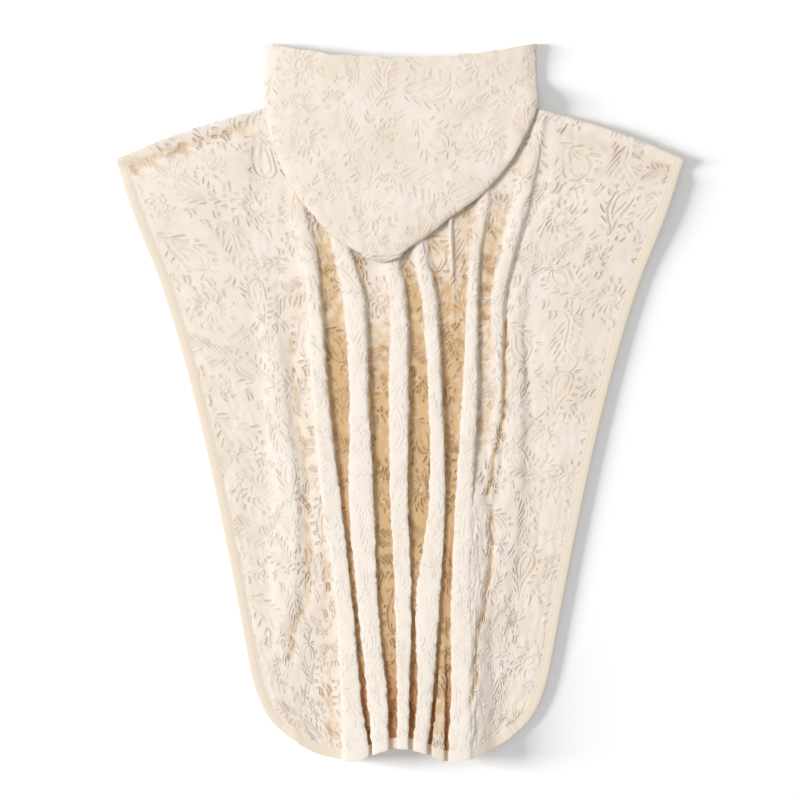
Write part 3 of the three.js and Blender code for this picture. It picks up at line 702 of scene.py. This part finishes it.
def hoodLowerGrid():
    below = hoodBelow
    coarse = np.array(hood["rowsY"][below["firstRow"]:], float)
    down = np.linspace(0, 1, below["rows"])
    y = np.interp(down * (len(coarse) - 1), np.arange(len(coarse)), coarse)
    y = y + below["tipRoom"] * smoothStep(below["tipStart"], 1, down)
    left, right = hoodSides(y)
    share = np.linspace(0, 1, below["columns"])[None, :]
    x = left + below["inset"] + (right - left - 2 * below["inset"]) * share
    rowY = np.repeat(y[:, None], below["columns"], 1)
    rowY[0] += below["front"] * (1 - (2 * share[0] - 1) ** 2)
    z = cloth["backTop"] + foldCover(x, rowY) + below["clear"] + below["thickness"]
    return np.stack([x, rowY, z], -1)


lowerPoints = hoodLowerGrid()
hoodLowerCloth = clothShell(
    "hoodLowerCloth", lowerPoints, lowerPoints - gridNormals(lowerPoints) * cloth["thickness"],
    lowerPoints[:, :, 1] + hood["motifShift"][0], lowerPoints[:, :, 0] + hood["motifShift"][1])
print("hood made")


# hidden flat layers, from their solids
hidden = dict(merge=0.01, flatWithin=0.02, softEdge=0.9, motifShift=400)


def flatLayer(node, name):
    piece = addPiece(name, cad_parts[node].data.copy())
    bpy.ops.object.select_all(action="DESELECT")
    piece.select_set(True)
    bpy.context.view_layer.objects.active = piece
    bpy.ops.object.mode_set(mode="EDIT")
    bpy.ops.mesh.select_all(action="SELECT")
    bpy.ops.mesh.remove_doubles(threshold=hidden["merge"] / 1000)
    bpy.ops.mesh.dissolve_limited(angle_limit=hidden["flatWithin"])
    bpy.ops.object.mode_set(mode="OBJECT")
    soften = piece.modifiers.new("soften", "BEVEL")
    soften.width = hidden["softEdge"] / 1000
    soften.segments = 2
    soften.limit_method = "ANGLE"
    bpy.ops.object.modifier_apply(modifier="soften")
    bpy.ops.object.mode_set(mode="EDIT")
    bpy.ops.mesh.select_all(action="SELECT")
    bpy.ops.mesh.quads_convert_to_tris()
    bpy.ops.object.mode_set(mode="OBJECT")
    mesh = piece.data
    for old in list(mesh.uv_layers):
        mesh.uv_layers.remove(old)
    points = np.empty(len(mesh.vertices) * 3)
    mesh.vertices.foreach_get("co", points)
    layPattern(mesh, 1000 * points.reshape(-1, 3)[:, :2] + hidden["motifShift"])
    return piece


frontCloth = flatLayer("front_panel", "frontCloth")
hoodFrontCloth = flatLayer("hood_front", "hoodFrontCloth")
frontBinding = flatLayer("front_binding", "frontBinding")
print("hidden layers made")


# materials
def linear(colour):
    # sRGB hex to linear RGBA
    parts = [int(colour[i:i + 2], 16) / 255 for i in (0, 2, 4)]
    return tuple(c / 12.92 if c <= 0.04045 else ((c + 0.055) / 1.055) ** 2.4 for c in parts) + (1.0,)


def blankMaterial(name):
    material = bpy.data.materials.new(name)
    material.use_nodes = True
    tree = material.node_tree
    tree.nodes.clear()

    def put(kind, ins=(), operation=None, **settings):
        # adds a node; ins holds a value or another node's socket for each of its inputs
        node = tree.nodes.new("ShaderNode" + kind)
        if operation:
            node.operation = operation
        for key, value in settings.items():
            setattr(node, key, value)
        for key, value in (ins.items() if isinstance(ins, dict) else enumerate(ins)):
            if isinstance(value, bpy.types.NodeSocket):
                tree.links.new(value, node.inputs[key])
            else:
                node.inputs[key].default_value = value
        return node.outputs

    return material, put


velour = dict(
    # shade is a random drift of the cream; crown is the painted highlight of fold tops; tan and brown are the painted
    # shade of the valleys; the last two are the painted shade in the grooves
    colour="EFE4D8", shade="E9DBCA", crown="FCF3E8", tan="CFA972", brown="B8703C", grooveShadeColour="C9A27C", deepGrooveShadeColour="8C5A30",
    drift=60.0, mottle=13.0,  # sizes in mm, of the random patches in the cream and of those in the tan painted shade
    washFrom=0.4, washFull=0.72, mottled=(1.3, 0.31),
    pile=1.1,  # tufts stand 0.4 mm apart; drawn coarser so that they show
    pileDepth=0.4,
    grooveWidth=4.2, grooveDepth=1.45, hoodShare=0.7,  # the hood's grooves are shallower
    onCrown=-0.55, inHollow=0.7,  # how much deeper the grooves are there
    # shares of the shade painted into the grooves, and of the darker one where they cross a valley
    grooveShade=0.2, deepGrooveShade=0.22,
    roughness=0.92, sheen=0.2, sheenTint="FFF6EA",
    crownHighlight=0.45,  # how much lighter a crown is painted, as a painted highlight
    tanFrom=0.26, tanFull=0.78, tanShare=0.85, brownFrom=0.84, brownShare=0.7,
)


def velourFinish(name, reliefDepth):
    # sheared cotton velour: matt and soft; the motifs show by their bump shading and by shade painted into their
    # grooves, and shade and highlight are painted onto the folds
    material, put = blankMaterial(name)
    uv = put("UVMap", uv_map="cloth")[0]
    nap, drift, mottle = (
        put("TexNoise", {"Vector": uv, "Scale": 1000 / velour[size], "Detail": detail, "Roughness": rough})[0]
        for size, detail, rough in (("pile", 2.0, 0.6), ("drift", 3.0, 0.5), ("mottle", 2.5, 0.62)))
    wash = put("MapRange", {"Value": drift, "From Min": velour["washFrom"], "From Max": velour["washFull"]})[0]
    # painted highlight: the crown of a fold is painted lighter
    crown = put("Attribute", attribute_name="crown")["Fac"]
    crownHighlight = put("Math", (crown, velour["crownHighlight"]), "MULTIPLY")[0]
    # painted shade: the valleys are painted tan, and brown where they are deepest
    hollow = put("Attribute", attribute_name="hollow")["Fac"]
    # the painted shade varies in random patches
    uneven = put("Math", (mottle, *velour["mottled"]), "MULTIPLY_ADD")[0]
    patchyShade = put("Math", (hollow, uneven), "MULTIPLY")[0]
    tan = put("MapRange", {
        "Value": patchyShade, "From Min": velour["tanFrom"], "From Max": velour["tanFull"], "To Max": velour["tanShare"]},
        interpolation_type="SMOOTHSTEP")[0]
    brown = put("MapRange", {
        "Value": hollow, "From Min": velour["brownFrom"], "From Max": 1.0, "To Max": velour["brownShare"]})[0]
    layers = [(wash, "shade"), (crownHighlight, "crown"), (tan, "tan"), (brown, "brown")]
    normal = put("Bump", {"Strength": 0.6, "Distance": velour["pileDepth"] / 1000, "Height": nap})[0]
    if reliefDepth:
        groove = patternGrooves(put, uv)
        pressed = put("Math", (crown, velour["onCrown"], 1.0), "MULTIPLY_ADD")[0]
        pressed = put("Math", (hollow, velour["inHollow"], pressed), "MULTIPLY_ADD")[0]
        groove = put("Math", (groove, pressed), "MULTIPLY")[0]
        # painted shade in the grooves, darker where they run through a valley
        grooveShade = put("Math", (groove, velour["grooveShade"]), "MULTIPLY")[0]
        deepGrooveShade = put("Math", (groove, hollow), "MULTIPLY")[0]
        deepGrooveShade = put("Math", (deepGrooveShade, velour["deepGrooveShade"]), "MULTIPLY")[0]
        layers += [(grooveShade, "grooveShadeColour"), (deepGrooveShade, "deepGrooveShadeColour")]
        normal = put("Bump", {
            "Strength": 1.0, "Distance": reliefDepth / 1000, "Height": groove, "Normal": normal}, invert=True)[0]
    colour = linear(velour["colour"])
    for share, layer in layers:
        colour = put("Mix", {0: share, 6: colour, 7: linear(velour[layer])}, data_type="RGBA")[2]
    finish = put("BsdfPrincipled", {
        "Base Color": colour, "Normal": normal, "Roughness": velour["roughness"], "Specular IOR Level": 0.2,
        "Sheen Weight": velour["sheen"], "Sheen Roughness": 0.5, "Sheen Tint": linear(velour["sheenTint"])})
    put("OutputMaterial", {"Surface": finish[0]})
    return material


# how the motifs are drawn: sizes in mm first, and the rest in shares of a motif's radius
drawing = dict(
    waver=6.0, waverSize=20.0,
    worn=[(12.0, 0.5, 0.34, 0.48, 0.15), (35.0, 1.0, 0.34, 0.6, 0.5)],  # size, detail, from, to, what is left
    petals=(0.3, 0.46, 0.66, 0.84), outerPetals=(0.88, 0.98, 1.1, 1.26), petalTwist=0.45, petalEnd=0.86, petalWave=0.07,
    eye=0.22,
    dropFoot=-0.84, dropTip=0.62, dropWidth=1.3, dropInside=0.26, dropBend=2.6, dropTaper=1.2,
    beads=(0.1, 0.2, 0.34, 0.5), beadsOut=9.0, beadsUp=19.0,
    stemSway=0.12, stemWaves=3.0, leafSlant=0.9, leafCount=3.1, leafLine=0.24, leaves=(0.08, 0.22, 0.5, 0.8),
    bowBend=0.55, outerBow=0.48, innerBow=0.22, bowEnds=(-1.0, -0.5, 0.3, 0.66),
)


def patternGrooves(put, uv):
    # 1 in the sheared grooves that draw the motifs, 0 on the pile between them
    place = put("Attribute", attribute_name="motifPlace")["Vector"]
    turn = put("Attribute", attribute_name="motifTurn")["Vector"]
    # the pile leans here and there, so no line runs quite true
    waver = put("TexNoise", {"Vector": uv, "Scale": 1000 / drawing["waverSize"], "Detail": 0.5},
                noise_dimensions="2D")["Color"]
    shift = put("VectorMath", (waver, (0.5, 0.5, 0.5)), "SUBTRACT")[0]
    shift = put("VectorMath", {0: shift, "Scale": drawing["waver"] / 1000}, "SCALE")[0]
    here = put("SeparateXYZ", (put("VectorMath", (uv, shift), "ADD")[0],))
    centre = put("SeparateXYZ", (place,))
    spin = put("SeparateXYZ", (turn,))
    dx = put("Math", (here[0], centre[0]), "SUBTRACT")[0]
    dy = put("Math", (here[1], centre[1]), "SUBTRACT")[0]
    part = put("Math", (dy, spin[1]), "MULTIPLY")[0]
    lx = put("Math", (dx, spin[0], part), "MULTIPLY_ADD")[0]
    part = put("Math", (dx, spin[1]), "MULTIPLY")[0]
    whole = put("Math", (dy, spin[0]), "MULTIPLY")[0]
    ly = put("Math", (whole, part), "SUBTRACT")[0]
    perMetre = put("VectorMath", (put("CombineXYZ", (spin[0], spin[1], 0.0))[0],), "LENGTH")["Value"]
    width = put("Math", (perMetre, velour["grooveWidth"] / 1000), "MULTIPLY")[0]
    r = put("VectorMath", (put("CombineXYZ", (lx, ly, 0.0))[0],), "LENGTH")["Value"]
    angle = put("Math", (ly, lx), "ARCTAN2")[0]

    def deepest(*grooves):
        total = grooves[0]
        for groove in grooves[1:]:
            total = put("Math", (total, groove), "MAXIMUM")[0]
        return total

    def faded(groove, *shares):
        for share in shares:
            groove = put("Math", (groove, share), "MULTIPLY")[0]
        return groove

    def line(distance, share=1.0, strength=1.0):
        # as wide as the pile between two grooves, so that the pile looks rounded
        near = put("Math", (distance,), "ABSOLUTE")[0]
        wide = put("Math", (width, share), "MULTIPLY")[0]
        return put("MapRange", {"Value": near, "From Max": wide, "To Min": strength, "To Max": 0.0},
                   interpolation_type="SMOOTHSTEP")[0]

    def window(value, low, rise, high, fall):
        # 1 between two values, with soft ends
        ends = [put("MapRange", {"Value": value, "From Min": a, "From Max": b, "To Min": c, "To Max": 1 - c},
                    interpolation_type="SMOOTHSTEP")[0] for a, b, c in ((low, rise, 0.0), (high, fall, 1.0))]
        return faded(*ends)

    # daisy: a smooth eye, dents between its petals, and a second ring of dents that stand between the first
    twisted = put("Math", (r, drawing["petalTwist"], angle), "MULTIPLY_ADD")[0]
    beat = put("Math", (twisted, spin[2]), "MULTIPLY")[0]
    lobes = put("Math", (beat,), "COSINE")[0]
    perPetal = put("Math", (r, put("Math", (spin[2], 1.0), "MAXIMUM")[0]), "DIVIDE")[0]
    aside = put("Math", (put("Math", (lobes, -0.999), "MULTIPLY")[0],), "ARCCOSINE")[0]
    between = put("Math", (aside, -1.0, math.pi), "MULTIPLY_ADD")[0]
    petals, outerPetals = (
        faded(line(put("Math", (far, perPetal), "MULTIPLY")[0]), window(r, *drawing[ring]))
        for far, ring in ((aside, "petals"), (between, "outerPetals")))
    petalEnd = put("Math", (lobes, drawing["petalWave"], drawing["petalEnd"]), "MULTIPLY_ADD")[0]
    fromEnd = put("Math", (r, petalEnd), "SUBTRACT")[0]
    eye = put("Math", (r, drawing["eye"]), "SUBTRACT")[0]
    daisy = deepest(petals, outerPetals, line(fromEnd, 0.7, 0.45), line(eye, 0.8, 0.6))

    # paisley: a drop whose tip bends over, one line inside it, and dents all round it
    s = put("MapRange", {"Value": ly, "From Min": drawing["dropFoot"], "From Max": 1.0})[0]
    bend = put("Math", (put("Math", (s, drawing["dropBend"]), "POWER")[0], drawing["dropTip"]), "MULTIPLY")[0]
    px = put("Math", (put("Math", (lx, bend), "SUBTRACT")[0],), "ABSOLUTE")[0]
    taper = put("Math", (put("Math", (1.0, s), "SUBTRACT")[0], drawing["dropTaper"]), "POWER")[0]
    half = put("Math", (put("Math", (s, 0.5), "POWER")[0], taper), "MULTIPLY")[0]
    edge = put("Math", (half, -drawing["dropWidth"], px), "MULTIPLY_ADD")[0]
    slope = put("Math", (ly, drawing["beadsUp"]), "MULTIPLY")[0]
    slope = put("Math", (edge, drawing["beadsOut"], slope), "MULTIPLY_ADD")[0]
    beads = put("MapRange", {"Value": put("Math", (slope,), "SINE")[0], "From Min": 0.1, "From Max": 0.95},
                interpolation_type="SMOOTHSTEP")[0]
    inner = put("Math", (edge, drawing["dropInside"]), "ADD")[0]
    paisley = deepest(line(edge, 1.0, 0.8), faded(beads, window(edge, *drawing["beads"])), line(inner, 0.8, 0.6))

    # spray: a swaying stem with slanting dents on both sides
    sway = put("Math", (put("Math", (ly, drawing["stemWaves"]), "MULTIPLY")[0],), "SINE")[0]
    wave = put("Math", (sway, drawing["stemSway"], lx), "MULTIPLY_ADD")[0]
    q = put("Math", (wave,), "ABSOLUTE")[0]
    slant = put("Math", (q, -drawing["leafSlant"], ly), "MULTIPLY_ADD")[0]
    cell = put("Math", (put("Math", (slant, drawing["leafCount"]), "MULTIPLY")[0],), "FRACT")[0]
    vein = put("Math", (put("Math", (cell, 0.5), "SUBTRACT")[0], drawing["leafLine"]), "MULTIPLY")[0]
    spray = deepest(faded(line(vein), window(q, *drawing["leaves"])), line(wave, 0.7, 0.6))

    # two crescents, one inside the other
    bow = put("Math", (ly, ly), "MULTIPLY")[0]
    curve = put("Math", (bow, drawing["bowBend"], lx), "MULTIPLY_ADD")[0]
    outer = put("Math", (curve, drawing["outerBow"]), "SUBTRACT")[0]
    nested = put("Math", (curve, drawing["innerBow"]), "ADD")[0]
    crescents = faded(deepest(line(outer), line(nested, 0.9)), window(bow, *drawing["bowEnds"]))

    motif = daisy
    for kind, other in enumerate((paisley, spray, crescents)):
        past = put("Math", (centre[2], kind + 0.5), "GREATER_THAN")[0]
        motif = put("Mix", {0: past, 2: motif, 3: other})[0]
    # the pile closes over some dents, and is worn flat in places
    for size, detail, low, high, least in drawing["worn"]:
        noise = put("TexNoise", {"Vector": uv, "Scale": 1000 / size, "Detail": detail}, noise_dimensions="2D")[0]
        motif = faded(motif, put("MapRange", {
            "Value": noise, "From Min": low, "From Max": high, "To Min": least, "To Max": 1.0})[0])
    return motif


tapeLook = dict(
    colour="ECDECB", groove="E2CFB6",
    rib=1.3, fluff=1.4, ribDepth=0.3, stitch=3.4, seamFrom=2.4, seamWidth=0.9,  # in mm
    stitched=0.72,  # share of a stitch in which its thread lies on top
    ribShare=0.35, underThread=-0.55, underPile=-0.85,  # what the seam's groove loses there
    # the second is the share of the valleys' tan painted as shade on tape that lies low in a valley
    seamShade=0.5, lowShade=0.22,
    roughness=0.85, sheen=0.15,
)


def bindingFinish(name):
    # woven cotton tape: matt, with fine cross ribs and one row of stitches
    material, put = blankMaterial(name)
    uv = put("UVMap", uv_map="cloth")[0]
    here = put("SeparateXYZ", (uv,))
    beat = put("Math", (here[1], 2 * math.pi * 1000 / tapeLook["rib"]), "MULTIPLY")[0]
    ribs = put("Math", (beat,), "SINE")[0]
    fluff = put("TexNoise", {"Vector": uv, "Scale": 1000 / tapeLook["fluff"], "Detail": 2.0})[0]
    weave = put("Math", (ribs, tapeLook["ribShare"], fluff), "MULTIPLY_ADD")[0]
    across = put("Math", (here[0], -tapeLook["seamFrom"] / 1000), "ADD")[0]
    seamLine = put("MapRange", {
        "Value": put("Math", (across,), "ABSOLUTE")[0], "From Max": tapeLook["seamWidth"] / 1000,
        "To Min": 1.0, "To Max": 0.0}, interpolation_type="SMOOTHSTEP")[0]
    beat = put("Math", (here[1], 1000 / tapeLook["stitch"]), "MULTIPLY")[0]
    thread = put("Math", (put("Math", (beat,), "FRACT")[0], tapeLook["stitched"]), "LESS_THAN")[0]
    # along the folded hem the pile lies over the tape and its stitches
    buried = put("Attribute", attribute_name="hollow")["Fac"]
    dip = seamLine
    for cover, lost in ((thread, tapeLook["underThread"]), (buried, tapeLook["underPile"])):
        dip = put("Math", (dip, put("Math", (cover, lost, 1.0), "MULTIPLY_ADD")[0]), "MULTIPLY")[0]
    crown = put("Attribute", attribute_name="crown")["Fac"]
    # where the buried tape lies low between the folds it gets the valleys' tan, as painted shade
    low = put("Math", (put("Math", (1.0, crown), "SUBTRACT")[0], buried), "MULTIPLY")[0]
    base = linear(tapeLook["colour"])
    for cover, share, colour in (
        (dip, tapeLook["seamShade"], tapeLook["groove"]), (buried, 1.0, velour["colour"]),
        (low, tapeLook["lowShade"], velour["tan"]),
        # on a crown the tape gets the painted highlight
        (crown, velour["crownHighlight"], velour["crown"]),
    ):
        base = put("Mix", {0: put("Math", (cover, share), "MULTIPLY")[0], 6: base, 7: linear(colour)},
                   data_type="RGBA")[2]
    normal = put("Bump", {"Strength": 0.5, "Distance": tapeLook["ribDepth"] / 1000, "Height": weave})[0]
    normal = put("Bump", {
        "Strength": 1.0, "Distance": tapeLook["ribDepth"] / 1000, "Height": dip, "Normal": normal}, invert=True)[0]
    finish = put("BsdfPrincipled", {
        "Base Color": base, "Normal": normal, "Roughness": tapeLook["roughness"], "Specular IOR Level": 0.25,
        "Sheen Weight": tapeLook["sheen"], "Sheen Roughness": 0.5})
    put("OutputMaterial", {"Surface": finish[0]})
    return material


bodyVelour = velourFinish("bodyVelour", velour["grooveDepth"])
hoodVelour = velourFinish("hoodVelour", velour["grooveDepth"] * velour["hoodShare"])
plainVelour = velourFinish("plainVelour", 0)  # hidden, so without motifs
tape = bindingFinish("bindingTape")
print("materials made")

# joins to the frame
pieces = (
    (backCloth, "back_panel", "velour", bodyVelour), (backBinding, "back_binding", "binding", tape),
    (frontCloth, "front_panel", "velour", plainVelour), (frontBinding, "front_binding", "binding", tape),
    (hoodUpperCloth, "hood_upper", "velour", hoodVelour), (hoodLowerCloth, "hood_lower", "velour", hoodVelour),
    (hoodFrontCloth, "hood_front", "velour", plainVelour),
)
for piece, node, slot, material in pieces:
    piece.data.materials.clear()
    piece.data.materials.append(material)
    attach(piece, "root")
    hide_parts(node)

# stage, light and camera
studio = dict(
    worldStrength=0.5, keyPlace=(-5.75, 1.32, 7.57), keyPower=660.0, keySize=3.0,
    lowPlace=(-9.39, 0.35, 2.15), lowPower=2250.0, lowSize=2.9,
    height=3.2, field=1.04, fieldLevel=0.008, sensor=36.0,  # the picture is 1.04 m wide at the level of the cloth
    paper="FFFFFF", paperSize=8.0, paperRoughness=0.9, paperGlow=0.07,
)
bpy.ops.mesh.primitive_plane_add(size=studio["paperSize"], location=(0, 0, 0))
floor = bpy.context.object
floor.name = "floor"
# seamless white background paper: matt, without any gloss, and almost as bright in the shade
paper = bpy.data.materials.new("paper")
paper.use_nodes = True
for socket, value in (
    ("Base Color", linear(studio["paper"])), ("Roughness", studio["paperRoughness"]), ("Specular IOR Level", 0.0),
    ("Emission Color", linear(studio["paper"])), ("Emission Strength", studio["paperGlow"]),
):
    paper.node_tree.nodes["Principled BSDF"].inputs[socket].default_value = value
floor.data.materials.append(paper)

world = bpy.data.worlds.new("room")
bpy.context.scene.world = world
world.use_nodes = True
sky = world.node_tree.nodes["Background"]
sky.inputs["Color"].default_value = linear(studio["paper"])
sky.inputs["Strength"].default_value = studio["worldStrength"]


def softLight(name, place, power, size):
    bpy.ops.object.light_add(type="AREA", location=place)
    light = bpy.context.object
    light.name = name
    light.data.energy = power
    light.data.size = size
    light.rotation_euler = (Vector((0, 0, 0)) - Vector(place)).to_track_quat("-Z", "Y").to_euler()
    return light


def lightOnly(light, pieces, name):
    receivers = bpy.data.collections.new(name)
    for piece in pieces:
        receivers.objects.link(piece)
    light.light_linking.receiver_collection = receivers


# a high light for the cloth, and a low one that only draws its shadow on the paper
key = softLight("key", studio["keyPlace"], studio["keyPower"], studio["keySize"])
lightOnly(key, [piece for piece, *rest in pieces], "lit")
low = softLight("low", studio["lowPlace"], studio["lowPower"], studio["lowSize"])
lightOnly(low, (floor,), "shaded")

bpy.ops.object.camera_add(location=(0, cloth["shiftY"] / 1000, studio["height"]), rotation=(0, 0, 0))
camera = bpy.context.object
camera.data.sensor_width = studio["sensor"]
camera.data.lens = studio["sensor"] * (studio["height"] - studio["fieldLevel"]) / studio["field"]
bpy.context.scene.camera = camera
bpy.context.scene.view_settings.view_transform = "Standard"
print("stage made")
